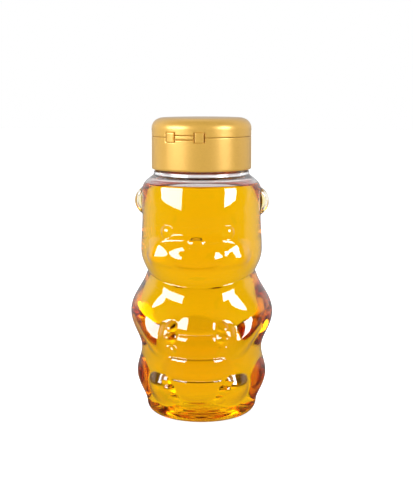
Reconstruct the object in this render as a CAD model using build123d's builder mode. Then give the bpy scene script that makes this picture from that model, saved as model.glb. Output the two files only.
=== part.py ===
from build123d import *

import os
from math import cos, degrees, pi, radians, sin, sqrt, tan

# A squeezable honey bear: a blow-moulded clear bottle, its honey, the liner over its mouth and a
# snap-hinged flip-top cap. All sizes are millimetres and degrees. The bear faces -Y, +X is to the
# right of someone who faces it, and Z rises from the ring that it stands on, on the neck's axis.
# A bearing is an angle about that axis, from the front towards +X.

# Trunk and head, as radii about the neck's axis and heights, each over the one named before it
base_radius = 22.6
heel_radius = 4.2
ring_width = 3.0
push_up = 3.4
belly_radius = 24.9
belly_height = 25.0
chest_radius = 24.3
chest_over_belly = 17.0
crease_radius = 22.1
crease_over_chest = 16.8
cheek_radius = 24.95
cheek_over_crease = 9.2
crown_radius = 24.4
crown_over_cheek = 14.0
shoulder_over_crown = 12.8
shoulder_slope = 38.0
shoulder_blend = 2.6
wall = 0.8

# Where the form leans towards its front and back: the jaw hangs over a drawn-in throat and the
# brow draws in
jaw_drop = 4.0
jaw_drop_height = 21.0
throat_draw = 0.6
brow_draw = 2.1
brow_draw_height = 13.8

# How closely sections follow each other up the form and how many points each one has: fine ones
# for the outside, coarse ones for the cavity, whose surface is softer
fine_pitch = 1.9
fine_count = 84
coarse_pitch = 3.1
coarse_count = 48
heel_step_count = 3

# Neck finish, which fits inside the cap, and what fills the bottle
bead_under_cap = 0.8
bead_width = 1.7
bead_blend = 0.7
thread_room = 1.5
neck_wall = 1.15
mouth_over_shoulder = 15.6
mouth_blend = 0.35
honey_over_shoulder = 0.4
honey_gap = 0.1

# Face: a raised oval mask with a flat top, and soft swellings for the jaws, the muzzle, two lobes
# under the nose, the cheeks and a chin. Its heights are over the crease between head and trunk
mask_half_width = 26.5
mask_half_height = 7.4
mask_over_crease = 10.4
mask_rise = 1.0
mask_edge = 2.2
mask_fullness = 2.5
jaw_half_width = 44.0
jaw_half_height = 8.8
jaw_over_crease = 4.8
jaw_rise = 0.9
muzzle_half_width = 13.5
muzzle_half_height = 7.4
muzzle_over_crease = 6.8
muzzle_rise = 1.4
lobe_bearing = 12.5
lobe_half_width = 6.4
lobe_half_height = 5.6
lobe_over_crease = 7.4
lobe_rise = 1.3
cheek_pad_bearing = 39.0
cheek_pad_half_width = 9.5
cheek_pad_half_height = 7.0
cheek_pad_over_crease = 6.8
cheek_pad_rise = 1.5
chin_half_width = 11.5
chin_half_height = 4.8
chin_under_crease = 0.6
chin_rise = 1.7
nose_half_width = 4.0
nose_half_height = 3.0
nose_over_crease = 14.8
nose_rise = 2.0
eye_bearing = 29.8
eye_half_width = 4.0
eye_half_height = 3.5
eye_over_crease = 18.4
eye_rise = 2.0

# Ears: thick round lobes, dished in front
ear_radius = 6.2
ear_thickness = 6.6
ear_blend = 1.9
ear_spread = 22.0
ear_depth = 2.0
ear_under_shoulder = 7.4
ear_wall = 1.8
ear_dish_radius = 2.7
ear_dish_depth = 0.8
ear_dish_spread = 24.6

# Arms: an upper arm at the side, a forearm that runs down to the front, and a paw with fingers
arm_bearing = 92.0
arm_half_width = 28.0
arm_half_height = 14.8
arm_under_chest = 0.2
arm_rise = 5.15
forearm_bearing = 54.0
forearm_half_width = 20.0
forearm_half_height = 9.5
forearm_under_chest = 3.4
forearm_rise = 3.8
forearm_tilt = 32.0
paw_bearing = 27.0
paw_half_width = 7.4
paw_half_height = 8.6
paw_under_chest = 6.6
paw_rise = 3.4
finger_count = 3
finger_bearing = 22.5
finger_pitch = 4.6
finger_half_width = 3.2
finger_half_height = 2.8
finger_rise = 2.0

# Haunches, feet with toes, and rump
haunch_bearing = 84.0
haunch_half_width = 17.0
haunch_half_height = 10.8
haunch_height = 15.6
haunch_rise = 2.3
foot_bearing = 36.0
foot_half_width = 11.0
foot_half_height = 8.2
foot_height = 14.2
foot_rise = 3.7
toe_count = 3
toe_bearing = 24.5
toe_turn = 3.2
toe_pitch = 4.1
toe_half_width = 3.1
toe_half_height = 2.7
toe_rise = 2.0
tummy_half_width = 30.0
tummy_half_height = 24.0
tummy_over_belly = 5.0
tummy_rise = 2.7
rump_bearing = 180.0
rump_half_width = 30.0
rump_half_height = 17.0
rump_height = 19.0
rump_rise = 3.2

# Straw hive on the tummy: coils round an upright line of their own in front of the neck's axis,
# drawn in under the waist and domed over it, with the dome's top hidden in the chest
hive_set = 9.7
hive_radius = 19.0
hive_bottom = 9.9
hive_waist = 22.0
hive_dome = 37.9
hive_foot_draw = 4.2
hive_coil = 9.05
hive_coil_count = 5
hive_groove = 0.6

# Cap: a skirt with a deck and spout, and a lid that closes over them
cap_radius = 20.5
cap_wall = 1.45
cap_clearance = 0.45
skirt_blend = 0.6
deck_thickness = 1.6
rim_height = 1.2
parting_chamfer = 0.2
liner_thickness = 1.0
liner_clearance = 0.45
orifice_radius = 3.2
spout_radius = 4.7
spout_tip_radius = 4.3
spout_height = 4.2
lid_height = 7.5
lid_blend = 4.3
lid_wall = 1.4
seal_radius = 6.1
seal_wall = 1.1
seal_overlap = 2.2
plug_radius = 2.8
plug_tip_radius = 2.4
plug_entry = 1.4

# Moulded hinge: a film between two straps, and the thumb grip across from it
hinge_bearing = -15.3
film_width = 7.6
film_height = 1.4
film_thickness = 0.9
film_set = 0.9
film_relief = 0.3
strap_gap = 0.64
strap_width = 3.5
strap_height = 4.0
strap_thickness = 1.3
strap_blend = 0.35
strap_set = 0.9
slot_side = 0.6
grip_width = 11.0
grip_height = 4.2
grip_depth = 0.8
grip_lip = 0.7
grip_lip_height = 1.1

# One overrun carries every cut past the face that it starts from
overrun = 1.0

# Sizes that follow from those above
chest_height = belly_height + chest_over_belly
crease_height = chest_height + crease_over_chest
cheek_height = crease_height + cheek_over_crease
crown_height = cheek_height + crown_over_cheek
shoulder_height = crown_height + shoulder_over_crown
mouth_height = shoulder_height + mouth_over_shoulder
honey_level = shoulder_height + honey_over_shoulder
ear_height = shoulder_height - ear_under_shoulder
mask_height = crease_height + mask_over_crease
jaw_height = crease_height + jaw_over_crease
muzzle_height = crease_height + muzzle_over_crease
lobe_height = crease_height + lobe_over_crease
cheek_pad_height = crease_height + cheek_pad_over_crease
chin_height = crease_height - chin_under_crease
nose_height = crease_height + nose_over_crease
eye_height = crease_height + eye_over_crease
arm_height = chest_height - arm_under_chest
forearm_height = chest_height - forearm_under_chest
paw_height = chest_height - paw_under_chest
tummy_height = belly_height + tummy_over_belly
skirt_bore = cap_radius - cap_wall
bead_radius = cap_radius - bead_under_cap
neck_radius = skirt_bore - thread_room
bore_radius = neck_radius - neck_wall
strap_turn = degrees((film_width / 2 + strap_gap + strap_width / 2) / cap_radius)
shoulder_rise = tan(radians(shoulder_slope))
bead_bottom = shoulder_height + (crown_radius - bead_radius) * shoulder_rise
bead_top = bead_bottom + bead_width
deck_bottom = mouth_height + liner_thickness
deck_top = deck_bottom + deck_thickness
parting_height = deck_top + rim_height
skirt_bottom = bead_top + cap_clearance
lid_top = parting_height + lid_height
lid_ceiling = lid_top - lid_wall
lid_bore = cap_radius - lid_wall
spout_top = deck_top + spout_height
seal_bottom = spout_top - seal_overlap
plug_bottom = spout_top - plug_entry
ring_outer = base_radius - heel_radius
ring_inner = ring_outer - ring_width
dome_radius = (ring_inner**2 + push_up**2) / (2 * push_up)


def swelling(bearing, height, half_width, half_height, rise, tilt=0):
    """One soft swelling of the surface, which dies away at its half width and half height."""
    return [(bearing, height, half_width, half_height, rise, tilt)]


def both_sides(forms):
    """The swellings and their mirror images across the bear's middle."""
    return forms + [(-form[0], *form[1:5], -form[5]) for form in forms]


def digits(count, pitch, turn, bearing, height, half_width, half_height, rise):
    """Fingers or toes, stacked one over the other, each set further round by turn."""
    forms = []
    for place in range(count):
        step = place - (count - 1) / 2
        level = height + step * pitch
        forms += swelling(bearing + step * turn, level, half_width, half_height, rise)
    return forms


limbs = both_sides(
    swelling(arm_bearing, arm_height, arm_half_width, arm_half_height, arm_rise)
    + swelling(
        forearm_bearing,
        forearm_height,
        forearm_half_width,
        forearm_half_height,
        forearm_rise,
        forearm_tilt,
    )
    + swelling(paw_bearing, paw_height, paw_half_width, paw_half_height, paw_rise)
    + swelling(haunch_bearing, haunch_height, haunch_half_width, haunch_half_height, haunch_rise)
    + swelling(foot_bearing, foot_height, foot_half_width, foot_half_height, foot_rise)
)
limbs += swelling(0, tummy_height, tummy_half_width, tummy_half_height, tummy_rise)
limbs += swelling(rump_bearing, rump_height, rump_half_width, rump_half_height, rump_rise)

head = (
    swelling(0, jaw_height, jaw_half_width, jaw_half_height, jaw_rise)
    + swelling(0, muzzle_height, muzzle_half_width, muzzle_half_height, muzzle_rise)
    + swelling(0, chin_height, chin_half_width, chin_half_height, chin_rise)
    + both_sides(
        swelling(lobe_bearing, lobe_height, lobe_half_width, lobe_half_height, lobe_rise)
        + swelling(
            cheek_pad_bearing,
            cheek_pad_height,
            cheek_pad_half_width,
            cheek_pad_half_height,
            cheek_pad_rise,
        )
    )
)

features = swelling(0, nose_height, nose_half_width, nose_half_height, nose_rise) + both_sides(
    swelling(eye_bearing, eye_height, eye_half_width, eye_half_height, eye_rise)
    + digits(
        finger_count,
        finger_pitch,
        0,
        finger_bearing,
        paw_height,
        finger_half_width,
        finger_half_height,
        finger_rise,
    )
    + digits(
        toe_count,
        toe_pitch,
        toe_turn,
        toe_bearing,
        foot_height,
        toe_half_width,
        toe_half_height,
        toe_rise,
    )
)


def rise_of(form, bearing, height):
    """How far one swelling lifts the surface at a bearing and a height."""
    centre, middle, half_width, half_height, rise, tilt = form
    across = radians((bearing - centre + 180) % 360 - 180) * belly_radius
    up = height - middle
    along = across * cos(radians(tilt)) + up * sin(radians(tilt))
    over = up * cos(radians(tilt)) - across * sin(radians(tilt))
    left = 1 - (along / half_width) ** 2 - (over / half_height) ** 2
    return rise * max(left, 0) ** 2


def eased(low, high, share):
    """From low to high with a soft start and end."""
    return low + (high - low) * (1 - cos(share * pi)) / 2


def trunk_radius(bearing, height, inset):
    """The trunk and head at a bearing and a height, without swellings, drawn in by inset."""
    if height < heel_radius:
        arc = (heel_radius - inset) ** 2 - (heel_radius - height) ** 2
        return ring_outer + sqrt(max(arc, 0))
    frontal = cos(radians(bearing)) ** 2
    window = (height - cheek_height + jaw_drop_height) / jaw_drop_height
    hanging = frontal * sin(pi * min(max(window, 0), 1)) ** 2
    level = height + jaw_drop * hanging
    if level < belly_height:
        share = (level - heel_radius) / (belly_height - heel_radius)
        grown = base_radius + (belly_radius - base_radius) * sin(share * pi / 2)
    elif level < chest_height:
        share = (level - belly_height) / chest_over_belly
        grown = eased(belly_radius, chest_radius, share)
    elif level < crease_height:
        share = (level - chest_height) / crease_over_chest
        grown = chest_radius + (crease_radius - chest_radius) * share ** (5 / 3)
    elif level < cheek_height:
        share = (level - crease_height) / cheek_over_crease
        grown = crease_radius + (cheek_radius - crease_radius) * sin(share * pi / 2)
    elif level < crown_height:
        share = (level - cheek_height) / crown_over_cheek
        grown = eased(cheek_radius, crown_radius, share)
    else:
        grown = crown_radius
    above = (height - shoulder_height) / brow_draw_height + 1
    upright = grown - inset - brow_draw * frontal * max(above, 0) ** 2 - throat_draw * hanging
    slope = crown_radius - (height - shoulder_height) / shoulder_rise
    slope -= inset / sin(radians(shoulder_slope))
    share = max(shoulder_blend - abs(upright - slope), 0) / shoulder_blend
    return min(upright, slope) - share**2 * shoulder_blend / 4


def mask_lift(bearing, height):
    """The flat rise of the face's mask, inside a full oval with an eased edge."""
    across = abs(radians((bearing + 180) % 360 - 180)) * belly_radius / mask_half_width
    over = abs(height - mask_height) / mask_half_height
    inside = 1 - (across**mask_fullness + over**mask_fullness) ** (1 / mask_fullness)
    return eased(0, mask_rise, min(max(inside * mask_half_height / mask_edge, 0), 1))


def form_radius(bearing, height, inset, forms):
    """The bear's radius at a bearing and a height. Swellings that overlap run into one another."""
    lift = sum(rise_of(form, bearing, height) ** 3 for form in forms) ** (1 / 3)
    return trunk_radius(bearing, height, inset) + mask_lift(bearing, height) + lift


def spread(start, end, pitch):
    """Heights from start up to end, not end itself, about pitch apart."""
    steps = max(round((end - start) / pitch), 1)
    return [start + (end - start) * step / steps for step in range(steps)]


def bear_form(inset, top_radius, forms, pitch, count):
    """The bear's outside, or its cavity or honey when drawn in by inset, as one smooth loft."""
    heel = heel_radius - inset
    slope_start = crown_radius - inset / sin(radians(shoulder_slope))
    top = shoulder_height + (slope_start - top_radius) * shoulder_rise
    turning = shoulder_height - shoulder_blend
    turns = [pi / 2 * step / heel_step_count for step in range(heel_step_count)]
    heights = [heel_radius - heel * cos(turn) for turn in turns]
    heights += spread(heel_radius, crease_height, pitch)
    heights += spread(crease_height, turning, pitch)
    heights += spread(turning, top, shoulder_blend / 2) + [top]
    shares = [step / count for step in range(count + 1)]
    with BuildPart() as form:
        sections = []
        for height in heights:
            points = []
            for share in shares[:-1]:
                angle = 2 * pi * share
                reach = form_radius(360 * share, height, inset, forms)
                points.append(Vector(reach * sin(angle), -reach * cos(angle), height))
            with BuildSketch(Plane.XY.offset(height)) as section:
                with BuildLine(Plane.XY.offset(height)):
                    add(Edge.make_spline(points, periodic=True, parameters=shares))
                make_face()
            sections.append(section.sketch)
        loft(sections)
        with Locations((0, 0, push_up - dome_radius)):
            Sphere(dome_radius + inset, mode=Mode.SUBTRACT)
    return form.part


def ear(side, inset):
    """A thick round ear with an eased rim, dished in front on its outside only."""
    front = ear_depth - ear_thickness / 2
    depth = ear_thickness - 2 * inset - (ear_dish_depth if inset else 0)
    with BuildPart() as lobe:
        with BuildSketch(Plane.XZ.offset(inset - ear_depth - ear_thickness / 2)) as disc:
            with Locations((side * ear_spread, ear_height)):
                Circle(ear_radius - inset)
        extrude(disc.sketch, amount=depth)
        rims = lobe.edges().filter_by(GeomType.CIRCLE)
        fillet(rims, radius=ear_blend * depth / ear_thickness)
        if not inset:
            ball = (ear_dish_radius**2 + ear_dish_depth**2) / (2 * ear_dish_depth)
            with Locations((side * ear_dish_spread, front + ear_dish_depth - ball, ear_height)):
                Sphere(ball, mode=Mode.SUBTRACT)
    return lobe.part


def hive_reach(height):
    """The hive's radius about its own upright line, without its grooves."""
    up = max(height - hive_waist, 0) / hive_dome
    down = max(hive_waist - height, 0) / (hive_waist - hive_bottom)
    return hive_radius * sqrt(1 - up**2) - hive_foot_draw * down ** (6 / 5)


def hive_form(inset, groove):
    """The hive, drawn in by inset, with grooves between its coils."""
    with BuildPart() as form:
        with BuildSketch(Plane.XZ.offset(hive_set)):
            with BuildLine():
                Line((0, hive_bottom), (hive_reach(hive_bottom) - inset - groove, hive_bottom))
                for row in range(hive_coil_count):
                    foot = hive_bottom + row * hive_coil
                    middle = foot + hive_coil / 2
                    top = foot + hive_coil
                    ThreePointArc(
                        (hive_reach(foot) - inset - groove, foot),
                        (hive_reach(middle) - inset, middle),
                        (hive_reach(top) - inset - groove, top),
                    )
                Line((hive_reach(top) - inset - groove, top), (0, top))
                Line((0, top), (0, hive_bottom))
            make_face()
        revolve(axis=Axis((0, -hive_set, 0), (0, 0, 1)))
    return form.part


def bearing_plane(bearing):
    """A level plane at the parting line whose x runs out from the cap's axis along a bearing."""
    outward = (sin(radians(bearing)), -cos(radians(bearing)), 0)
    return Plane(origin=(0, 0, parting_height), x_dir=outward, z_dir=(0, 0, 1))


def bar_section(bearing, set_in, thickness, width):
    """A level rectangle across a bearing, which starts set_in under the cap's surface."""
    with BuildSketch(bearing_plane(bearing)) as section:
        with Locations((cap_radius - set_in, 0)):
            Rectangle(thickness, width, align=(Align.MIN, Align.CENTER))
    return section.sketch


def hinge_pockets(sense):
    """The hinge's seats: below the parting line where sense is -1, above it where sense is 1."""
    for side in (-1, 1):
        slot = bar_section(
            hinge_bearing + side * strap_turn,
            strap_set,
            strap_set + overrun,
            strap_width + 2 * slot_side,
        )
        extrude(slot, amount=sense * strap_height / 2, mode=Mode.SUBTRACT)
    gap = bar_section(hinge_bearing, film_set, film_set + overrun, film_width)
    extrude(gap, amount=sense * (film_height / 2 + film_relief), mode=Mode.SUBTRACT)


def snap_strap(side):
    """A short strap beside the film, which stretches as the lid passes mid travel."""
    bearing = hinge_bearing + side * strap_turn
    extrude(
        bar_section(bearing, strap_set, strap_thickness, strap_width),
        amount=strap_height / 2,
        both=True,
    )


# Neck: the bead that the cap stops over, and the upright finish
with BuildPart() as neck:
    with BuildSketch(Plane.XZ):
        with BuildLine():
            Polyline(
                (0, bead_bottom - bead_blend),
                (bead_radius, bead_bottom - bead_blend),
                (bead_radius, bead_top),
                (neck_radius, bead_top),
                (neck_radius, mouth_height),
                (0, mouth_height),
                close=True,
            )
        outline = make_face()
        bead_edge = outline.vertices().group_by(Axis.X)[-1].sort_by(Axis.Y)[-1]
        mouth_edge = outline.vertices().group_by(Axis.Y)[-1].sort_by(Axis.X)[-1]
        fillet(bead_edge, radius=bead_blend)
        fillet(mouth_edge, radius=mouth_blend)
    revolve(axis=Axis.Z)

# Cavity: the inside of the blown wall, open through the neck
with BuildPart() as cavity:
    add(bear_form(wall, bore_radius - honey_gap, limbs + head, coarse_pitch, coarse_count))
    add(hive_form(wall, 0))
    add([ear(-1, ear_wall), ear(1, ear_wall)])
    with BuildSketch(Plane.XY.offset(shoulder_height)):
        Circle(bore_radius)
    extrude(amount=mouth_height - shoulder_height + overrun)

# Bottle: the bear, blown in one piece with its neck
with BuildPart() as bottle:
    outer_top = (bead_radius + neck_radius) / 2
    add(bear_form(0, outer_top, limbs + head + features, fine_pitch, fine_count))
    add(hive_form(0, hive_groove))
    add([ear(-1, 0), ear(1, 0)])
    add(neck.part)
    add(cavity.part, mode=Mode.SUBTRACT)

# Honey: it fills the cavity to the foot of the neck
with BuildPart() as honey:
    inset = wall + honey_gap
    add(bear_form(inset, bore_radius, limbs + head, coarse_pitch, coarse_count))
    add(hive_form(inset, 0))
    add([ear(-1, ear_wall + honey_gap), ear(1, ear_wall + honey_gap)])
    split(bisect_by=Plane.XY.offset(honey_level), keep=Keep.BOTTOM)

# Liner: the disc that seals the mouth under the cap's deck
with BuildPart() as seal_liner:
    with BuildSketch(Plane.XY.offset(mouth_height)):
        Circle(skirt_bore - liner_clearance)
    extrude(amount=liner_thickness)

# Cap base: skirt, deck and spout, with seats for the moulded hinge and a thumb grip
with BuildPart() as cap_base:
    with BuildSketch(Plane.XZ):
        with BuildLine():
            Polyline(
                (skirt_bore, skirt_bottom),
                (cap_radius, skirt_bottom),
                (cap_radius, parting_height),
                (skirt_bore, parting_height),
                (skirt_bore, deck_top),
                (spout_radius, deck_top),
                (spout_tip_radius, spout_top),
                (orifice_radius, spout_top),
                (orifice_radius, deck_bottom),
                (skirt_bore, deck_bottom),
                close=True,
            )
        shell = make_face()
        rim = shell.vertices().group_by(Axis.X)[-1].sort_by(Axis.Y)
        fillet(rim[0], radius=skirt_blend)
        chamfer(rim[-1], length=parting_chamfer)
    revolve(axis=Axis.Z)
    hinge_pockets(-1)
    away = bearing_plane(hinge_bearing + 180)
    grip_origin = away.origin + away.x_dir * (cap_radius - grip_depth)
    with BuildSketch(Plane(origin=grip_origin, x_dir=away.y_dir, z_dir=away.x_dir)):
        Ellipse(grip_width / 2, grip_height)
    extrude(amount=grip_depth + overrun, mode=Mode.SUBTRACT)

# Lid: a round-shouldered shell with a plug for the orifice and a ring that seals round the spout
with BuildPart() as lid:
    with BuildSketch(Plane.XZ):
        with BuildLine():
            Polyline(
                (0, lid_top),
                (cap_radius, lid_top),
                (cap_radius, parting_height),
                (lid_bore, parting_height),
                (lid_bore, lid_ceiling),
                (seal_radius, lid_ceiling),
                (seal_radius, seal_bottom),
                (seal_radius - seal_wall, seal_bottom),
                (seal_radius - seal_wall, lid_ceiling),
                (plug_radius, lid_ceiling),
                (plug_tip_radius, plug_bottom),
                (0, plug_bottom),
                close=True,
            )
        shell = make_face()
        outside = shell.vertices().group_by(Axis.X)[-1].sort_by(Axis.Y)
        inside = shell.vertices().group_by(Axis.X)[-2].sort_by(Axis.Y)
        fillet(outside[-1], radius=lid_blend)
        fillet(inside[-1], radius=lid_blend - lid_wall)
        chamfer(outside[0], length=parting_chamfer)
    revolve(axis=Axis.Z)
    with BuildSketch(bearing_plane(hinge_bearing + 180)):
        Circle(cap_radius + grip_lip)
        Circle(cap_radius - lid_wall / 2, mode=Mode.SUBTRACT)
        with Locations((cap_radius, 0)):
            Rectangle(cap_radius, grip_width, mode=Mode.INTERSECT)
    extrude(amount=grip_lip_height)
    hinge_pockets(1)

# Hinge film: the thin bar between cap base and lid on which the lid turns
with BuildPart() as hinge_film:
    extrude(
        bar_section(hinge_bearing, film_set, film_thickness, film_width),
        amount=film_height / 2,
        both=True,
    )

with BuildPart() as snap_strap_left:
    snap_strap(-1)
    fillet(snap_strap_left.edges().filter_by(Axis.Z).sort_by(Axis.Y)[:2], radius=strap_blend)

with BuildPart() as snap_strap_right:
    snap_strap(1)
    fillet(snap_strap_right.edges().filter_by(Axis.Z).sort_by(Axis.Y)[:2], radius=strap_blend)

bottle.part.label = "bottle"
honey.part.label = "honey"
seal_liner.part.label = "seal_liner"
cap_base.part.label = "cap_base"
lid.part.label = "lid"
hinge_film.part.label = "hinge_film"
snap_strap_left.part.label = "snap_strap_left"
snap_strap_right.part.label = "snap_strap_right"

os.makedirs("parts", exist_ok=True)
export_step(bottle.part, "parts/bottle.step")
export_step(honey.part, "parts/honey.step")
export_step(seal_liner.part, "parts/seal_liner.step")
export_step(cap_base.part, "parts/cap_base.step")
export_step(lid.part, "parts/lid.step")
export_step(hinge_film.part, "parts/hinge_film.step")
export_step(snap_strap_left.part, "parts/snap_strap_left.step")
export_step(snap_strap_right.part, "parts/snap_strap_right.step")
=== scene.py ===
import math

import bmesh
import bpy
import numpy as np
from mathutils import Matrix, Vector


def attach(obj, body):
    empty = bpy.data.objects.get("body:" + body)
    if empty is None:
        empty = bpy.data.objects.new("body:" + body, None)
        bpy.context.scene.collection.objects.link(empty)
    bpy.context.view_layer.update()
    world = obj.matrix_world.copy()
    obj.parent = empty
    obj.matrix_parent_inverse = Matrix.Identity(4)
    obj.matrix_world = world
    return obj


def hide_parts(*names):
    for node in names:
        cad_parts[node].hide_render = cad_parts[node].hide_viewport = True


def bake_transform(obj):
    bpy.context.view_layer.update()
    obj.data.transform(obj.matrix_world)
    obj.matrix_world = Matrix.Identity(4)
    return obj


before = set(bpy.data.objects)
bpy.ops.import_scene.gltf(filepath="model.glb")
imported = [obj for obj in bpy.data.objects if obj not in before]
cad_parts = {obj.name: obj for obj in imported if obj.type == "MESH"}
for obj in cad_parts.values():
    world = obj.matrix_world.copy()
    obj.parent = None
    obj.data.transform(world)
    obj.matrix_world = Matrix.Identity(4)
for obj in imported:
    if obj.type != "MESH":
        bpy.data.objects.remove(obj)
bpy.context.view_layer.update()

# Lengths are millimetres in the bottle's own frame, turned to metres by MM. A bearing is in degrees
# about the neck's axis, from the bear's front towards +X.
MM = 0.001

# Base, and the trunk and head as (height, radius) stations of the turned form
BASE_RADIUS = 22.6
HEEL_RADIUS = 4.2
RING_WIDTH = 3.0
PUSH_UP = 4.6
PUSH_UP_RINGS = 24
PUSH_UP_INNER_RINGS = 8
BELLY = (25.0, 24.9)
CHEST = (42.0, 24.3)
CREASE = (58.8, 22.1)
CHEEK = (68.0, 24.95)
CROWN = (82.0, 24.4)
JAW_DROP = 4.0
JAW_FROM = 47.0
THROAT_DRAW = 0.6
CHEST_FULLNESS = 4
BROW_HEIGHT = 81.0
BROW_LEAN = 0.0113
SHOULDER_HEIGHT = 94.8
SHOULDER_SLOPE = math.radians(38)
SHOULDER_RISE = math.tan(SHOULDER_SLOPE)
SHOULDER_BLEND = 2.6
WALL = 0.8

# Ears
EAR_BEARING = 94.6
EAR_SPREAD = 22.0
EAR_RADIUS = 6.2
EAR_THICKNESS = 7.4
EAR_HEIGHT = 87.4
EAR_FILLET = 0.5
EAR_WALL_SHARE = 2.3
EAR_SQUARENESS = 2.8
EAR_FULLNESS = 0.85

# How swellings meet the body, as powers: a soft foot eases into it, a crisp one stands on it
SOFT_FOOT = 2
CRISP_FOOT = 0.75
LIFT_BLEND = 3

# Straw hive: round about a line in front of the neck's axis, and domed over its waist
HIVE_BOTTOM = 9.9
HIVE_COIL = 9.05
HIVE_SET = 9.7
HIVE_RADIUS = 19.0
HIVE_SIDE_TUCK = 2.0
HIVE_DOME = 37.9
HIVE_GROOVE = 0.8
HIVE_GROOVE_SHARPNESS = 6
HIVE_WAIST = 22.0
HIVE_FOOT_DRAW = 4.2
HIVE_FOOT_CURVE = 1.2
HIVE_FILLET = 0.12

# Mask of the muzzle and cheeks: a flat rise inside a rounded oblong
MASK_HEIGHT = 69.2
MASK_HALF_WIDTH = 26.5
MASK_HALF_HEIGHT = 7.4
MASK_RISE = 1.0
MASK_EDGE = 2.4
MASK_SQUARENESS = 2.5

# Fine lines: the bear's mouth, the mould's seam and the ribs under the base
SMILE_HEIGHT = 63.0
SMILE_LIFT = 1.3
SMILE_BEARING = 23.0
SMILE_DEPTH = 0.4
SMILE_HALF_WIDTH = 0.75
SMILE_FADE_SHARE = 0.2
SEAM_BEARING = 90
SEAM_RISE = 0.1
SEAM_HALF_WIDTH = 0.3
BASE_RIB_PITCH = 2.3
BASE_RIB_RISE = 0.3

# Neck finish. Fillets and bevels are lists of (out, up) steps from their corner.
BEAD_RADIUS = 19.7
BEAD_WIDTH = 1.7
BEAD_BLEND = 0.7
BEAD_FOOT = 0.3
NECK_FILLET = [(0.3, 0.0), (0.06, 0.2)]
NECK_START = 0.5
NECK_RINGS = 36
NECK_RADIUS = 17.55
BORE_RADIUS = 16.4
MOUTH_HEIGHT = 110.4
MOUTH_BLEND = 0.35
MOUTH_BEVEL = [(0.2, 0.0), (0.0, -0.2)]
BEAD_BOTTOM = SHOULDER_HEIGHT + (CROWN[1] - BEAD_RADIUS) * SHOULDER_RISE
BEAD_TOP = BEAD_BOTTOM + BEAD_WIDTH
COLLAR_DROP = 0.9
COLLAR_BEVEL = [(0.12, 0.15), (0.5, 0.05)]
BORE_START = 1.0
BORE_END = 0.4
BORE_RINGS = 8
THREAD_PITCH = 4.233
THREAD_START = 103.4
THREAD_TURNS = 1.25
THREAD_RISE = 1.05
THREAD_HALF_WIDTH = 0.95
THREAD_FADE = 0.08
THREAD_FULLNESS = 0.7

# Honey
HONEY_LEVEL = 93.9
HONEY_OVERLAP = 0.12
MENISCUS = 1.1
MENISCUS_SPREAD_SHARE = 0.03
SURFACE_RING_SHARES = (0.99, 0.98, 0.965, 0.95, 0.93, 0.9, 0.86, 0.8, 0.6, 0.3)

# Cap: its skirt, and the deck and parting line that the other heights are taken from
CAP_RADIUS = 20.5
CAP_WALL = 1.45
CAP_CLEARANCE = 0.45
SKIRT_BLEND = 0.7
SKIRT_FOOT_EASE = 0.3
LINER_THICKNESS = 1.0
DECK_THICKNESS = 1.6
DECK_EASE = 0.4
DECK_CORNER_EASE = 0.5
RIM_HEIGHT = 1.2
RIM_EASE = 0.2
PARTING_EASE = 0.22
PARTING_GAP = 0.05
SKIRT_BOTTOM = BEAD_TOP + CAP_CLEARANCE
SKIRT_BORE = CAP_RADIUS - CAP_WALL
DECK_BOTTOM = MOUTH_HEIGHT + LINER_THICKNESS
DECK_TOP = DECK_BOTTOM + DECK_THICKNESS
PARTING = DECK_TOP + RIM_HEIGHT

# Bands of radius that count as the cap's outside and as its bore, and the thread in the bore
OUTSIDE_BAND = 0.8
BORE_BAND = 0.05
INNER_THREAD_RISE = 0.85
INNER_THREAD_STOP = 0.5

# Spout on the deck, and its orifice
SPOUT_RADIUS = 4.7
SPOUT_TIP_RADIUS = 4.3
SPOUT_HEIGHT = 4.2
SPOUT_FOOT_EASE = 0.5
SPOUT_TIP_EASE = 0.25
SPOUT_TOP = DECK_TOP + SPOUT_HEIGHT
ORIFICE_RADIUS = 3.2
ORIFICE_TOP_EASE = 0.2
ORIFICE_FOOT_EASE = 0.3

# Lid
LID_HEIGHT = 7.5
LID_BLEND = 4.3
LID_WALL = 1.4
LID_TOP = PARTING + LID_HEIGHT
LID_CEILING = LID_TOP - LID_WALL
LID_BORE = CAP_RADIUS - LID_WALL
LID_FOOT_EASE = 0.2
LID_CEILING_STEPS = 9
LID_SHOULDER_TURN = math.radians(80)
LID_SHOULDER_STEPS = 20
LID_SHOULDER_SHARE = 0.985
LID_TOP_INSET = 0.12
LID_TOP_DROP = 0.04
LID_TOP_BEVEL = 0.3
LID_TOP_RING_SHARES = (0.6, 0.3)

# Under the lid: the ring that closes round the spout, and the plug of the orifice
SEAL_RADIUS = 6.1
SEAL_WALL = 1.1
SEAL_OVERLAP = 2.2
SEAL_EASE = 0.3
PLUG_RADIUS = 2.8
PLUG_TIP_RADIUS = 2.4
PLUG_TIP_EASE = 0.4
PLUG_ENTRY = 1.4
PLUG_RING_SHARE = 0.5

# Liner, pressed in a ring by the bottle's mouth
LINER_RADIUS = 18.6
LINER_EDGE_INSET = 0.2
LINER_EDGE_RISE = 0.25
LINER_TOP_GAP = 0.02
PRESS_DEPTH = 0.05
PRESS_HALF_WIDTH = 0.7
PRESS_REACH = 1.2
FLAT_REACH = 3

# Hinge: a film with a strap on each side, all set into pockets of the skirt and the lid
HINGE_BEARING = -15.3
FILM_WIDTH = 7.6
FILM_HEIGHT = 1.4
FILM_THICKNESS = 0.9
FILM_SET = 0.9
FILM_RELIEF = 0.3
FILM_EASE = 0.2
FILM_ROWS = 4
STRAP_TURN = 17.3
STRAP_WIDTH = 3.5
STRAP_HEIGHT = 4.0
STRAP_THICKNESS = 1.3
STRAP_SET = 0.9
STRAP_EASE = 0.3
STRAP_ROWS = 10
SLOT_SIDE = 0.6
SLOT_RELIEF = 0.05
POCKET_EDGE = 0.16

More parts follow.
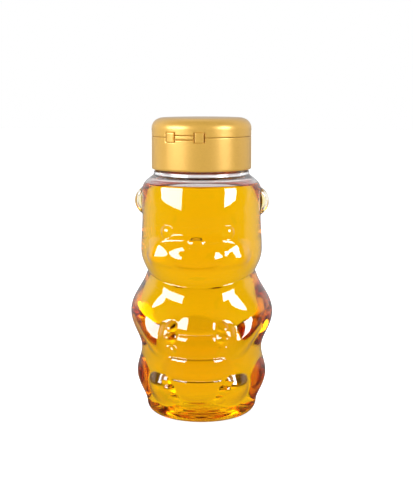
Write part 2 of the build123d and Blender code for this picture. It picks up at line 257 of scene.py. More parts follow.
# Thumb grip: a scoop in the skirt under a lip of the lid
GRIP_BEARING = HINGE_BEARING + 180
GRIP_WIDTH = 11.0
GRIP_HEIGHT = 4.2
GRIP_DEPTH = 0.8
GRIP_LIP = 0.7
GRIP_LIP_HEIGHT = 1.5
GRIP_LIP_SIDE_EASE = 1.2
GRIP_LIP_TOP_EASE = 0.5

# Rings and bearings of the meshes: degrees round the axis, millimetres along it
FRONT_HALF_TURN = 62
SIDE_BEARING = 90
SIDE_HALF_TURN = 22
COARSE_TURN = 1.6
FINE_TURN = 0.6
SIDE_TURN = 0.75
HONEY_TURN = 1.2
HONEY_COARSE_TURN = 2.4
HINGE_HALF_TURN = 26
HINGE_TURN = 0.4
GRIP_HALF_TURN = 18
GRIP_TURN = 0.8
CAP_TURN = 2.5
LINER_TURN = 3
OUTER_PITCH = 0.34
INNER_PITCH = 1.2
HONEY_PITCH = 0.6
CAP_PITCH = 0.3
LID_PITCH = 0.25
HEEL_RINGS = 6
EDGE_START = 0.3
EDGE_STEPS = 5
CORNER_STEPS = 3

# Optics and colours
PET_IOR = 1.57
HONEY_IOR = 1.49
HONEY_COLOUR = (0.985, 0.895, 0.0, 1)
HONEY_DENSITY = 158
BOUNCES = 48
GOLD = (0.84, 0.49, 0.09)
GOLD_DEEP = (0.72, 0.4, 0.06)
FOAM = (0.86, 0.85, 0.81)
FOAM_GREY = (0.7, 0.69, 0.65)

# Camera: where the photograph was taken from, with sizes in its pixels
CAMERA_AZIMUTH = math.radians(4.5)
CAMERA_DISTANCE = 427.9
CAMERA_HEIGHT = 133.1
FOCAL_PIXELS = 1041.4
LONG_SIDE_PIXELS = 500
SENSOR = 36
AXIS_OFFSET_PIXELS = 5
HORIZON_ABOVE_CENTRE_PIXELS = 160.4
CAMERA_SHIFT = -0.15

# Light. The floor's glow strengths are (millimetres, strength): through glass it shows a painted
# contact shadow near the bottle and painted shade darker towards the front, and in gloss a
# painted reflection that is darker in front.
FLOOR_REACH = 3000
FLOOR_WHITE = (0.88, 0.88, 0.88, 1)
FLOOR_GLOW = 0.72
PAINTED_SHADOW_NEAR = (24.0, 0.05)
PAINTED_SHADOW_FAR = (60.0, 1.0)
PAINTED_TABLE_SHADE_NEAR = (-60.0, 0.95)
PAINTED_TABLE_SHADE_FAR = (240.0, 1.12)
PAINTED_REFLECTION_NEAR = (-20.0, 0.03)
PAINTED_REFLECTION_FAR = (200.0, 0.3)

# The surround's greys are (share of the way, grey): front to back in gloss, otherwise bottom to top
HORIZON_WHITE = 1.12
GLOSS_GREYS = [(0.5, 0.015), (0.66, 0.5)]
GLASS_GREYS = [(0.55, 1.0), (0.8, 0.9)]
PLAIN_GREYS = [(0.3, 0.5), (1.0, 0.65)]

# Softboxes, with places and sizes in metres
SOFTBOX_AIM = (0, 0, 0.06)
LEFT_PLACE = (-0.8, -0.56, 0.38)
LEFT_SIZE = (0.8, 0.42)
LEFT_POWER = 9
RIGHT_PLACE = (0.82, -0.5, 0.38)
RIGHT_SIZE = (0.42, 0.42)
RIGHT_POWER = 6


def swelling(bearing, height, half_width, half_height, rise, tilt=0.0):
    """One swelling of the bear's surface, which ends at its half sizes. Its tilt is in degrees."""
    return (bearing, height, half_width, half_height, rise, tilt)


def both_sides(*forms):
    """The swellings and their mirror images across the bear's middle."""
    return [*forms, *((-form[0], *form[1:5], -form[5]) for form in forms)]


def digits(bearing, height, pitch, half_width, half_height, rise, turn):
    """Three fingers or toes, one over the other, each set further round by turn."""
    return [
        swelling(bearing + step * turn, height + step * pitch, half_width, half_height, rise)
        for step in (-1, 0, 1)
    ]


LIMBS = both_sides(
    swelling(92.0, 41.8, 33.0, 14.8, 5.1),  # upper arm
    swelling(49.0, 36.2, 20.0, 8.0, 3.8, tilt=38.0),  # forearm
    swelling(27.0, 35.4, 7.4, 8.6, 3.4),  # paw
    swelling(84.0, 15.6, 17.0, 10.8, 2.3),  # haunch
    swelling(36.0, 14.2, 11.0, 8.2, 2.9),  # foot
) + [
    swelling(0.0, 30.0, 30.0, 24.0, 1.5),  # tummy
    swelling(180.0, 19.0, 30.0, 17.0, 3.2),  # rump
]
FACE = [
    swelling(0.0, 63.6, 44.0, 8.8, 0.9),  # jaw
    swelling(0.0, 65.6, 13.5, 7.4, 1.4),  # muzzle
    swelling(0.0, 58.2, 11.5, 4.8, 0.7),  # chin
    *both_sides(
        swelling(12.5, 66.0, 6.0, 5.6, 1.5),  # lobe of the muzzle
        swelling(41.0, 65.6, 8.5, 7.0, 1.6),  # cheek
    ),
]
SMALL_FEATURES = [
    swelling(0.0, 73.0, 3.4, 2.3, 1.2),  # nose
    *both_sides(
        swelling(29.8, 77.2, 2.9, 2.5, 1.1),  # eye
        *digits(22.5, 35.4, 4.6, 2.4, 2.1, 1.0, 0.0),  # fingers
        *digits(24.5, 14.4, 4.1, 2.3, 2.0, 0.8, 3.2),  # toes
    ),
]


def smooth_share(value, low, high):
    """0 below low, 1 above high and a smooth step between them."""
    share = np.clip((value - low) / (high - low), 0, 1)
    return share * share * (3 - 2 * share)


def arc_from(bearing, centre, radius):
    """The arc from a centre bearing, measured on a circle of the given radius."""
    return np.radians((bearing - centre + 180) % 360 - 180) * radius


def lift_of(form, bearing, height, power):
    """How far one swelling lifts the surface, with a soft or a crisp foot."""
    centre, middle, half_width, half_height, rise, tilt = form
    across = arc_from(bearing, centre, BELLY[1])
    up = height - middle
    turn = math.radians(tilt)
    along = across * math.cos(turn) + up * math.sin(turn)
    over = up * math.cos(turn) - across * math.sin(turn)
    left = np.clip(1 - (along / half_width) ** 2 - (over / half_height) ** 2, 0, None)
    return rise * left**power


def trunk_radius(bearing, height, inset):
    """The turned trunk and head, drawn in by inset. Its jaw hangs lower at the front and back."""
    window = np.clip((height - JAW_FROM) / (CHEEK[0] - JAW_FROM), 0, 1)
    jaw = np.cos(np.radians(bearing)) ** 2 * np.sin(np.pi * window) ** 2
    level = height + JAW_DROP * jaw
    radius = np.full_like(level, CROWN[1])

    def between(low, high, curve):
        share = np.clip((level - low[0]) / (high[0] - low[0]), 0, 1)
        inside = (level >= low[0]) & (level < high[0])
        radius[inside] = (low[1] + (high[1] - low[1]) * curve(share))[inside]

    def eased(share):
        return (1 - np.cos(share * np.pi)) / 2

    between((HEEL_RADIUS, BASE_RADIUS), BELLY, lambda share: np.sin(share * np.pi / 2))
    between(BELLY, CHEST, eased)
    between(CHEST, CREASE, lambda share: share**CHEST_FULLNESS)
    between(CREASE, CHEEK, lambda share: np.sin(share * np.pi / 2))
    between(CHEEK, CROWN, eased)
    above = np.clip(height, BROW_HEIGHT, SHOULDER_HEIGHT + SHOULDER_BLEND) - BROW_HEIGHT
    upright = radius - inset - BROW_LEAN * above**2 * np.cos(np.radians(bearing)) ** 2
    upright = upright - THROAT_DRAW * jaw
    slope = CROWN[1] - (height - SHOULDER_HEIGHT) / SHOULDER_RISE - inset / math.sin(SHOULDER_SLOPE)
    share = np.clip(SHOULDER_BLEND - np.abs(upright - slope), 0, None) / SHOULDER_BLEND
    formed = np.minimum(upright, slope) - share**2 * SHOULDER_BLEND / 4
    arc = (HEEL_RADIUS - inset) ** 2 - (HEEL_RADIUS - height) ** 2
    heel = BASE_RADIUS - HEEL_RADIUS + np.sqrt(np.clip(arc, 0, None))
    return np.where(height < HEEL_RADIUS, heel, formed)


def ear_lift(bearing, height, inset):
    """How far the ears stand out of the head: round from the front, with full soft sides."""
    thick = inset * EAR_WALL_SHARE
    over = (height - EAR_HEIGHT) / (EAR_RADIUS - thick)
    reach = EAR_SPREAD + (EAR_RADIUS - thick) * np.sqrt(np.clip(1 - over**2, 0, None))
    across = arc_from(np.abs(bearing), EAR_BEARING, EAR_SPREAD + EAR_RADIUS / 2)
    beside = np.clip(np.abs(across) / (EAR_THICKNESS / 2 - thick / 2), 0, 1)
    out = np.clip(reach - CROWN[1] + inset, 0, None) * (1 - beside**EAR_SQUARENESS) ** EAR_FULLNESS
    return np.where(over**2 < 1, (out + np.sqrt(out**2 + EAR_FILLET**2) - EAR_FILLET) / 2, 0)


def soft_radius(bearing, height, inset):
    """The bear without its small relief: what the inside of the wall follows."""
    lifts = [lift_of(form, bearing, height, SOFT_FOOT) for form in LIMBS + FACE]
    lifts.append(ear_lift(bearing, height, inset))
    swollen = sum(lift**LIFT_BLEND for lift in lifts) ** (1 / LIFT_BLEND)
    body = trunk_radius(bearing, height, inset) + swollen
    body += mask_lift(bearing, height)
    hive = hive_radius(bearing, height, inset)
    return (body + hive + np.sqrt((body - hive) ** 2 + HIVE_FILLET**2)) / 2


def mask_lift(bearing, height):
    """The flat rise of the muzzle and cheeks, inside a rounded oblong."""
    across = np.abs(arc_from(bearing, 0, BELLY[1])) / MASK_HALF_WIDTH
    over = np.abs(height - MASK_HEIGHT) / MASK_HALF_HEIGHT
    inside = 1 - (across**MASK_SQUARENESS + over**MASK_SQUARENESS) ** (1 / MASK_SQUARENESS)
    return MASK_RISE * smooth_share(inside * MASK_HALF_HEIGHT, 0, MASK_EDGE)


def hive_radius(bearing, height, inset):
    """Where a level ray from the neck's axis leaves the hive, or 0 where it misses it."""
    up = np.clip((height - HIVE_WAIST) / HIVE_DOME, 0, 1)
    down = np.clip((HIVE_WAIST - height) / (HIVE_WAIST - HIVE_BOTTOM), 0, 1)
    dome = np.sqrt(1 - up**2)
    own = (HIVE_RADIUS - HIVE_SIDE_TUCK) * dome - HIVE_FOOT_DRAW * down**HIVE_FOOT_CURVE - inset
    forward = HIVE_SET + HIVE_SIDE_TUCK * dome
    place = ((height - HIVE_BOTTOM) / HIVE_COIL) % 1
    if not inset:
        own = own - HIVE_GROOVE * np.abs(2 * place - 1) ** HIVE_GROOVE_SHARPNESS
    turn = np.radians(bearing)
    left = own**2 - (forward * np.sin(turn)) ** 2
    met = forward * np.cos(turn) + np.sqrt(np.clip(left, 0, None))
    meets = (left > 0) & (np.cos(turn) > 0) & (height > HIVE_BOTTOM) & (up < 1)
    return np.where(meets, met, 0)


def full_radius(bearing, height):
    """The outside of the bottle with all its relief."""
    radius = soft_radius(bearing, height, 0)
    for feature in SMALL_FEATURES:
        radius += lift_of(feature, bearing, height, CRISP_FOOT)
    from_middle = np.abs(bearing) / SMILE_BEARING
    off = (height - SMILE_HEIGHT - SMILE_LIFT * from_middle**2) / SMILE_HALF_WIDTH
    radius -= SMILE_DEPTH * np.exp(-off**2) * smooth_share(1 - from_middle, 0, SMILE_FADE_SHARE)
    side = np.abs(arc_from(np.abs(bearing), SEAM_BEARING, BELLY[1])) / SEAM_HALF_WIDTH
    radius += SEAM_RISE * np.clip(1 - side, 0, 1)
    return radius


def closer_bearings(closeups, coarse):
    """Bearings round the axis, with finer steps inside each (centre, half width, step)."""
    bearings = []
    bearing = -180.0
    while bearing < 180 - coarse / 2:
        bearings.append(bearing)
        steps = [coarse]
        for centre, half_width, step in closeups:
            if abs((bearing - centre + 180) % 360 - 180) < half_width:
                steps.append(step)
        bearing += min(steps)
    return np.array(bearings)


def bear_bearings(fine, side, coarse):
    """Bearings round the bear, with fine steps in front and their own at the ears."""
    closeups = [(0, FRONT_HALF_TURN, fine)]
    closeups += [(bearing, SIDE_HALF_TURN, side) for bearing in (SIDE_BEARING, -SIDE_BEARING)]
    return closer_bearings(closeups, coarse)


def rings_of(stations, bearings):
    """Rings turned about the axis from (radius, height) stations, as radii and heights."""
    _, radii = np.meshgrid(bearings, [radius for radius, height in stations])
    _, heights = np.meshgrid(bearings, [height for radius, height in stations])
    return radii, heights


def join_rings(parts):
    """Stacks of rings, one after another."""
    radii = np.concatenate([radii for radii, heights in parts])
    heights = np.concatenate([heights for radii, heights in parts])
    return radii, heights


def ring_faces(rows, around, closed=False):
    """Quads between rings of equally many points, and from last to first if closed."""
    faces = []
    for row in range(rows if closed else rows - 1):
        here = row * around
        there = (row + 1) % rows * around
        for step in range(around):
            after = (step + 1) % around
            faces.append((here + step, here + after, there + after, there + step))
    return faces


def ring_points(radii, heights, bearings):
    """Points of rings, in order."""
    angles = np.radians(bearings)
    points = np.stack([radii * np.sin(angles), -radii * np.cos(angles), heights], axis=-1)
    return points.reshape(-1, 3)


def new_piece(name, points, faces, *materials):
    """A smooth mesh object from points in millimetres."""
    mesh = bpy.data.meshes.new(name)
    mesh.from_pydata((np.asarray(points) * MM).tolist(), [], faces)
    for material in materials:
        mesh.materials.append(material)
    mesh.polygons.foreach_set("use_smooth", [True] * len(mesh.polygons))
    mesh.update()
    piece = bpy.data.objects.new(name, mesh)
    bpy.context.scene.collection.objects.link(piece)
    return piece


def capped_piece(name, parts, bearings, bottom, top, *materials):
    """A piece of stacked rings whose first and last rings close on points of the axis."""
    radii, heights = join_rings(parts)
    rows, around = radii.shape
    points = ring_points(radii, heights, bearings)
    points = np.vstack([points, [[0, 0, bottom], [0, 0, top]]])
    faces = ring_faces(rows, around)
    first = len(points) - 2
    base = (rows - 1) * around
    for step in range(around):
        after = (step + 1) % around
        faces.append((first, after, step))
        faces.append((first + 1, base + step, base + after))
    return new_piece(name, points, faces, *materials)


def eased_outline(corners, pitch):
    """A closed outline of (radius, height, ease) corners, rounded and cut at a pitch."""
    stations = []
    for place, (radius, height, ease) in enumerate(corners):
        here = Vector((radius, height))
        before = (Vector(corners[place - 1][:2]) - here).normalized()
        after = (Vector(corners[(place + 1) % len(corners)][:2]) - here).normalized()
        half = before.angle(after) / 2
        back = ease / math.tan(half)
        centre = here + (before + after).normalized() * ease / math.sin(half)
        first = (here + before * back - centre).normalized()
        last = (here + after * back - centre).normalized()
        for step in range(CORNER_STEPS + 1):
            stations.append(tuple(centre + first.slerp(last, step / CORNER_STEPS) * ease))
    filled = []
    for place, station in enumerate(stations):
        ahead = stations[(place + 1) % len(stations)]
        count = max(1, math.ceil(math.dist(station, ahead) / pitch))
        for step in range(count):
            share = step / count
            filled.append(tuple(a + (b - a) * share for a, b in zip(station, ahead)))
    return filled


def dome_stations(inset, count):
    """The push-up's (radius, height) stations from near its middle to its rim."""
    ring_inner = BASE_RADIUS - HEEL_RADIUS - RING_WIDTH
    ball = (ring_inner**2 + PUSH_UP**2) / (2 * PUSH_UP)
    centre = PUSH_UP - ball
    ball += inset
    rim = math.sqrt(ball**2 - (inset - centre) ** 2)
    stations = []
    for step in range(1, count + 1):
        radius = rim * step / count
        rib = 0 if inset else BASE_RIB_RISE * (1 - math.cos(math.tau * radius / BASE_RIB_PITCH)) / 2
        fade = min(1, max(0, (rim - radius) / BASE_RIB_PITCH))
        stations.append((radius, centre + math.sqrt(ball**2 - radius**2) + rib * fade))
    return stations


def bear_heights(inset, top, pitch):
    """Heights of the rings from the standing ring to the top."""
    heel = HEEL_RADIUS - inset
    steps = max(round(heel / pitch), HEEL_RINGS)
    low = [HEEL_RADIUS - heel * math.cos(math.pi / 2 * step / steps) for step in range(steps)]
    count = round((top - HEEL_RADIUS) / pitch)
    return np.array(low + list(np.linspace(HEEL_RADIUS, top, count)))


def thread_ridge(bearings, heights, start):
    """A thread's rounded ridge, from 0 between its turns to 1 on its crest."""
    ridge = np.zeros_like(heights)
    for lap in range(-1, math.ceil(THREAD_TURNS) + 1):
        along = bearings / 360 + lap
        fade = smooth_share(along, 0, THREAD_FADE)
        fade = fade * smooth_share(THREAD_TURNS - along, 0, THREAD_FADE)
        off = np.abs(heights - start - THREAD_PITCH * along) / THREAD_HALF_WIDTH
        ridge = np.maximum(ridge, fade * np.clip(1 - off**2, 0, None) ** THREAD_FULLNESS)
    return ridge


def rounded_edge(radius, height, ease):
    """Stations over the rounded upper edge of a turned wall."""
    return [
        (radius - ease + ease * math.cos(turn), height - ease + ease * math.sin(turn))
        for turn in np.linspace(EDGE_START, math.pi / 2, EDGE_STEPS)
    ]


def stepped_from(radius, height, steps):
    """Stations at (out, up) steps from a corner."""
    return [(radius + out, height + up) for out, up in steps]


def make_bottle():
    """The blown wall: push-up, bear, bead, threaded neck and the inside, as one closed skin."""
    bearings = bear_bearings(FINE_TURN, SIDE_TURN, COARSE_TURN)
    parts = [rings_of(dome_stations(0, PUSH_UP_RINGS), bearings)]
    around, heights = np.meshgrid(bearings, bear_heights(0, BEAD_BOTTOM, OUTER_PITCH))
    parts.append((full_radius(around, heights), heights))
    bead = [(BEAD_RADIUS, BEAD_BOTTOM + BEAD_FOOT), (BEAD_RADIUS, BEAD_TOP - BEAD_BLEND)]
    bead += rounded_edge(BEAD_RADIUS, BEAD_TOP, BEAD_BLEND)
    bead += stepped_from(NECK_RADIUS, BEAD_TOP, NECK_FILLET)
    parts.append(rings_of(bead, bearings))
    neck_heights = np.linspace(BEAD_TOP + NECK_START, MOUTH_HEIGHT - MOUTH_BLEND, NECK_RINGS)
    around, heights = np.meshgrid(bearings, neck_heights)
    ridge = thread_ridge(around, heights, THREAD_START)
    parts.append((NECK_RADIUS + THREAD_RISE * ridge, heights))
    inner_top = BEAD_BOTTOM - COLLAR_DROP
    mouth = rounded_edge(NECK_RADIUS, MOUTH_HEIGHT, MOUTH_BLEND)
    mouth += stepped_from(BORE_RADIUS, MOUTH_HEIGHT, MOUTH_BEVEL)
    bore_heights = np.linspace(MOUTH_HEIGHT - BORE_START, inner_top + BORE_END, BORE_RINGS)
    mouth += [(BORE_RADIUS, height) for height in bore_heights]
    mouth += stepped_from(BORE_RADIUS, inner_top, COLLAR_BEVEL)
    parts.append(rings_of(mouth, bearings))
    outside_rings = sum(len(radii) for radii, heights in parts)
    around, heights = np.meshgrid(bearings, bear_heights(WALL, inner_top, INNER_PITCH)[::-1])
    parts.append((soft_radius(around, heights, WALL), heights))
    parts.append(rings_of(dome_stations(WALL, PUSH_UP_INNER_RINGS)[::-1], bearings))
    bottle = capped_piece(
        "bottle_wall", parts, bearings, PUSH_UP, PUSH_UP + WALL, clear_pet, wetted_pet
    )
    first_inside = outside_rings * len(bearings)
    for face in bottle.data.polygons:
        if face.center.z < (HONEY_LEVEL + MENISCUS) * MM and min(face.vertices) >= first_inside:
            face.material_index = 1
    return bottle


def make_honey():
    """The honey, which wets the wall and ends in a level surface with a low meniscus."""
    bearings = bear_bearings(HONEY_TURN, HONEY_TURN, HONEY_COARSE_TURN)
    inset = WALL - HONEY_OVERLAP
    parts = [rings_of(dome_stations(inset, PUSH_UP_INNER_RINGS), bearings)]
    rim_height = HONEY_LEVEL + MENISCUS
    around, heights = np.meshgrid(bearings, bear_heights(inset, rim_height, HONEY_PITCH))
    radii = soft_radius(around, heights, inset)
    parts.append((radii, heights))
    for share in SURFACE_RING_SHARES:
        drop_share = 1 - math.exp((share - 1) / MENISCUS_SPREAD_SHARE)
        level = np.full((1, len(bearings)), rim_height - MENISCUS * drop_share)
        parts.append((radii[-1:] * share, level))
    honey = capped_piece(
        "honey_fill", parts, bearings, PUSH_UP + inset, HONEY_LEVEL, amber_honey, honey_surface
    )
    last_side = (len(parts[0][0]) + len(parts[1][0]) - 1) * len(bearings)
    for face in honey.data.polygons:
        if min(face.vertices) >= last_side:
            face.material_index = 1
    return honey


def inside_box(across, half_width, up, half_height):
    """1 inside a box on the cap's surface, falling to 0 over a crisp edge."""
    beside = smooth_share(half_width - np.abs(across), 0, POCKET_EDGE)
    return beside * smooth_share(half_height - np.abs(up), 0, POCKET_EDGE)


def hinge_pockets(bearing, height):
    """Depth of the hinge's seats, in the skirt below the parting line and in the lid above it."""
    across = arc_from(bearing, HINGE_BEARING, CAP_RADIUS)
    up = height - PARTING
    depth = FILM_SET * inside_box(across, FILM_WIDTH / 2, up, FILM_HEIGHT / 2 + FILM_RELIEF)
    for side in (-1, 1):
        strap = arc_from(bearing, HINGE_BEARING + side * STRAP_TURN, CAP_RADIUS)
        slot = inside_box(strap, STRAP_WIDTH / 2 + SLOT_SIDE, up, STRAP_HEIGHT / 2 + SLOT_RELIEF)
        depth = np.maximum(depth, STRAP_SET * slot)
    return depth


def cap_bearings():
    """Bearings round the cap, close together at the hinge and at the thumb grip."""
    hinge = (HINGE_BEARING, HINGE_HALF_TURN, HINGE_TURN)
    return closer_bearings([hinge, (GRIP_BEARING, GRIP_HALF_TURN, GRIP_TURN)], CAP_TURN)


def skirt_shift(bearing, radius, height):
    """What the mould takes from the skirt: hinge seats and grip outside, and the thread inside."""
    outside = radius > CAP_RADIUS - OUTSIDE_BAND
    across = arc_from(bearing, GRIP_BEARING, CAP_RADIUS) / (GRIP_WIDTH / 2)
    down = (height - PARTING) / GRIP_HEIGHT
    grip = GRIP_DEPTH * np.sqrt(np.clip(1 - across**2 - down**2, 0, None))
    cut = np.maximum(hinge_pockets(bearing, height), grip)
    ridge = thread_ridge(bearing, height, THREAD_START - THREAD_PITCH / 2)
    in_bore = np.abs(radius - SKIRT_BORE) < BORE_BAND
    thread = in_bore * (height < DECK_BOTTOM - INNER_THREAD_STOP) * ridge
    return -cut * outside - INNER_THREAD_RISE * thread


def make_cap_base():
    """Skirt, deck and spout, turned as one wall, with the mould's seats and the inner thread."""
    corners = [
        (SKIRT_BORE, SKIRT_BOTTOM, SKIRT_FOOT_EASE),
        (CAP_RADIUS, SKIRT_BOTTOM, SKIRT_BLEND),
        (CAP_RADIUS, PARTING - PARTING_GAP, PARTING_EASE),
        (SKIRT_BORE, PARTING - PARTING_GAP, RIM_EASE),
        (SKIRT_BORE, DECK_TOP, DECK_EASE),
        (SPOUT_RADIUS, DECK_TOP, SPOUT_FOOT_EASE),
        (SPOUT_TIP_RADIUS, SPOUT_TOP, SPOUT_TIP_EASE),
        (ORIFICE_RADIUS, SPOUT_TOP, ORIFICE_TOP_EASE),
        (ORIFICE_RADIUS, DECK_BOTTOM, ORIFICE_FOOT_EASE),
        (SKIRT_BORE, DECK_BOTTOM, DECK_CORNER_EASE),
    ]
    outline = eased_outline(corners, CAP_PITCH)
    bearings = cap_bearings()
    radii, heights = rings_of(outline, bearings)
    radii = radii + skirt_shift(bearings[None, :], radii, heights)
    faces = ring_faces(len(outline), len(bearings), closed=True)
    return new_piece("flip_cap_base", ring_points(radii, heights, bearings), faces, gold)


def lid_shift(bearing, radius, height):
    """What the mould changes on the lid's outside: the hinge's seats and the thumb lip."""
    outside = radius > CAP_RADIUS - OUTSIDE_BAND
    across = np.abs(arc_from(bearing, GRIP_BEARING, CAP_RADIUS))
    lip = smooth_share(GRIP_WIDTH / 2 - across, 0, GRIP_LIP_SIDE_EASE)
    lip = lip * smooth_share(PARTING + GRIP_LIP_HEIGHT - height, 0, GRIP_LIP_TOP_EASE)
    return (GRIP_LIP * lip - hinge_pockets(bearing, height)) * outside


def lid_stations():
    """The lid's section from the axis under the plug, round the skirt, to the axis on top."""
    plug_tip = SPOUT_TOP - PLUG_ENTRY
    ring_foot = SPOUT_TOP - SEAL_OVERLAP
    ring_bore = SEAL_RADIUS - SEAL_WALL
    stations = [
        (PLUG_TIP_RADIUS * PLUG_RING_SHARE, plug_tip),
        (PLUG_TIP_RADIUS - PLUG_TIP_EASE, plug_tip),
        (PLUG_TIP_RADIUS, plug_tip + PLUG_TIP_EASE),
        (PLUG_RADIUS, LID_CEILING - SEAL_EASE),
        (PLUG_RADIUS + SEAL_EASE, LID_CEILING),
        (ring_bore - SEAL_EASE, LID_CEILING),
        (ring_bore, LID_CEILING - SEAL_EASE),
        (ring_bore, ring_foot + SEAL_EASE),
        (ring_bore + SEAL_EASE, ring_foot),
        (SEAL_RADIUS - SEAL_EASE, ring_foot),
        (SEAL_RADIUS, ring_foot + SEAL_EASE),
        (SEAL_RADIUS, LID_CEILING - SEAL_EASE),
        (SEAL_RADIUS + SEAL_EASE, LID_CEILING),
    ]
    ease = LID_BLEND - LID_WALL
    stations += [
        (LID_BORE - ease + ease * math.sin(turn), LID_CEILING - ease + ease * math.cos(turn))
        for turn in np.linspace(0, math.pi / 2, LID_CEILING_STEPS)
    ]
    foot = PARTING + PARTING_GAP
    stations += [(LID_BORE, foot + LID_FOOT_EASE), (LID_BORE + LID_FOOT_EASE, foot)]
    ease = PARTING_EASE
    stations += [
        (CAP_RADIUS - ease + ease * math.sin(turn), foot + ease - ease * math.cos(turn))
        for turn in np.linspace(0, math.pi / 2, EDGE_STEPS)
    ]
    shoulder = LID_TOP - LID_BLEND
    sides = np.arange(foot + ease + LID_PITCH, shoulder, LID_PITCH)
    stations += [(CAP_RADIUS, height) for height in sides]
    rise = LID_BLEND * LID_SHOULDER_SHARE
    stations += [
        (CAP_RADIUS - LID_BLEND + LID_BLEND * math.cos(turn), shoulder + rise * math.sin(turn))
        for turn in np.linspace(0, LID_SHOULDER_TURN, LID_SHOULDER_STEPS)
    ]
    rim = stations[-1][0] - LID_TOP_INSET
    stations += [(rim, LID_TOP - LID_TOP_DROP), (rim - LID_TOP_BEVEL, LID_TOP)]
    return stations + [(rim * share, LID_TOP) for share in LID_TOP_RING_SHARES]


def make_lid():
    """The round-shouldered lid with its seal ring and plug."""
    bearings = cap_bearings()
    radii, heights = rings_of(lid_stations(), bearings)
    radii = radii + lid_shift(bearings[None, :], radii, heights)
    return capped_piece(
        "flip_lid", [(radii, heights)], bearings, SPOUT_TOP - PLUG_ENTRY, LID_TOP, gold_lid
    )


def hinge_bar(name, bearing, set_in, thickness, width, height, ease, rows):
    """A bar of the moulded hinge, eased all round, with rows of faces along its height."""
    form = bmesh.new()
    bmesh.ops.create_cube(form, size=1)
    bmesh.ops.scale(form, vec=(width, thickness, height), verts=form.verts)
    bmesh.ops.bevel(
        form, geom=form.edges[:], offset=ease, segments=CORNER_STEPS, profile=0.5, affect="EDGES"
    )
    uprights = [e for e in form.edges if abs(e.verts[0].co.z - e.verts[1].co.z) > height / 2]
    bmesh.ops.subdivide_edges(form, edges=uprights, cuts=rows, use_grid_fill=True)
    middle = CAP_RADIUS - set_in + thickness / 2
    angle = math.radians(bearing)
    place = Matrix.Translation((middle * math.sin(angle), -middle * math.cos(angle), PARTING))
    form.transform(Matrix.Scale(MM, 4) @ place @ Matrix.Rotation(angle, 4, "Z"))
    mesh = bpy.data.meshes.new(name)
    form.to_mesh(mesh)
    form.free()
    mesh.polygons.foreach_set("use_smooth", [True] * len(mesh.polygons))
    mesh.materials.append(gold_hinge)
    piece = bpy.data.objects.new(name, mesh)
    bpy.context.scene.collection.objects.link(piece)
    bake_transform(piece)
    return piece


def make_liner():
    """The foam disc under the deck, pressed in a ring by the bottle's mouth."""
    pressed = (NECK_RADIUS + BORE_RADIUS) / 2
    face = MOUTH_HEIGHT + PRESS_DEPTH
    top = DECK_BOTTOM - LINER_TOP_GAP
    stations = [
        (pressed - FLAT_REACH, face),
        (pressed - PRESS_REACH, face),
        (pressed - PRESS_HALF_WIDTH, MOUTH_HEIGHT),
        (pressed + PRESS_HALF_WIDTH, MOUTH_HEIGHT),
        (pressed + PRESS_REACH, face),
        (LINER_RADIUS - LINER_EDGE_INSET, face),
        (LINER_RADIUS, MOUTH_HEIGHT + LINER_EDGE_RISE),
        (LINER_RADIUS, DECK_BOTTOM - LINER_EDGE_RISE),
        (LINER_RADIUS - LINER_EDGE_INSET, top),
        (LINER_RADIUS / 2, top),
    ]
    bearings = closer_bearings([], LINER_TURN)
    return capped_piece(
        "liner_disc", [rings_of(stations, bearings)], bearings, face, top, liner_foam
    )


def node(tree, kind, **values):
    """A new node with its input sockets or settings filled in by name."""
    made = tree.nodes.new(kind)
    for key, value in values.items():
        socket = key.replace("_", " ")
        if socket in made.inputs:
            made.inputs[socket].default_value = value
        else:
            setattr(made, key, value)
    return made


def principled(name, **values):
    """A material with its Principled BSDF's plain sockets set."""
    material = bpy.data.materials.new(name)
    material.use_nodes = True
    shader = material.node_tree.nodes["Principled BSDF"]
    for socket, value in values.items():
        shader.inputs[socket.replace("_", " ")].default_value = value
    return material, shader


def new_group(name, inputs, outputs):
    """A shader node group with float inputs (name, value) and outputs (name, socket kind)."""
    group = bpy.data.node_groups.new(name, "ShaderNodeTree")
    for label, value in inputs:
        socket = group.interface.new_socket(label, in_out="INPUT", socket_type="NodeSocketFloat")
        socket.default_value = value
    for label, kind in outputs:
        group.interface.new_socket(label, in_out="OUTPUT", socket_type=kind)
    return group, group.nodes.new("NodeGroupInput"), group.nodes.new("NodeGroupOutput")


def moulded_skin_group():
    """Fine unevenness of a moulded surface: a normal, and a mask of its slow variation."""
    inputs = [
        ("Grain Scale", 900.0),
        ("Grain Depth", 0.02),
        ("Wave Scale", 60.0),
        ("Wave Depth", 0.02),
    ]
    outputs = [("Mask", "NodeSocketFloat"), ("Normal", "NodeSocketVector")]
    group, given, result = new_group("moulded_skin", inputs, outputs)
    place = node(group, "ShaderNodeTexCoord")
    waves = node(group, "ShaderNodeTexNoise", Detail=2.0)
    grain = node(group, "ShaderNodeTexNoise", Detail=3.0)
    slow = node(group, "ShaderNodeBump", Distance=0.0002)
    fine = node(group, "ShaderNodeBump", Distance=0.00005)
    link = group.links.new
    link(place.outputs["Object"], waves.inputs["Vector"])
    link(place.outputs["Object"], grain.inputs["Vector"])
    link(given.outputs["Wave Scale"], waves.inputs["Scale"])
    link(given.outputs["Grain Scale"], grain.inputs["Scale"])
    link(waves.outputs["Fac"], slow.inputs["Height"])
    link(given.outputs["Wave Depth"], slow.inputs["Strength"])
    link(grain.outputs["Fac"], fine.inputs["Height"])
    link(given.outputs["Grain Depth"], fine.inputs["Strength"])
    link(slow.outputs["Normal"], fine.inputs["Normal"])
    link(waves.outputs["Fac"], result.inputs["Mask"])
    link(fine.outputs["Normal"], result.inputs["Normal"])
    return group


def place_group(material, group, **values):
    """The group placed in a material with its own values."""
    placed = material.node_tree.nodes.new("ShaderNodeGroup")
    placed.node_tree = group
    for socket, value in values.items():
        placed.inputs[socket.replace("_", " ")].default_value = value
    return placed


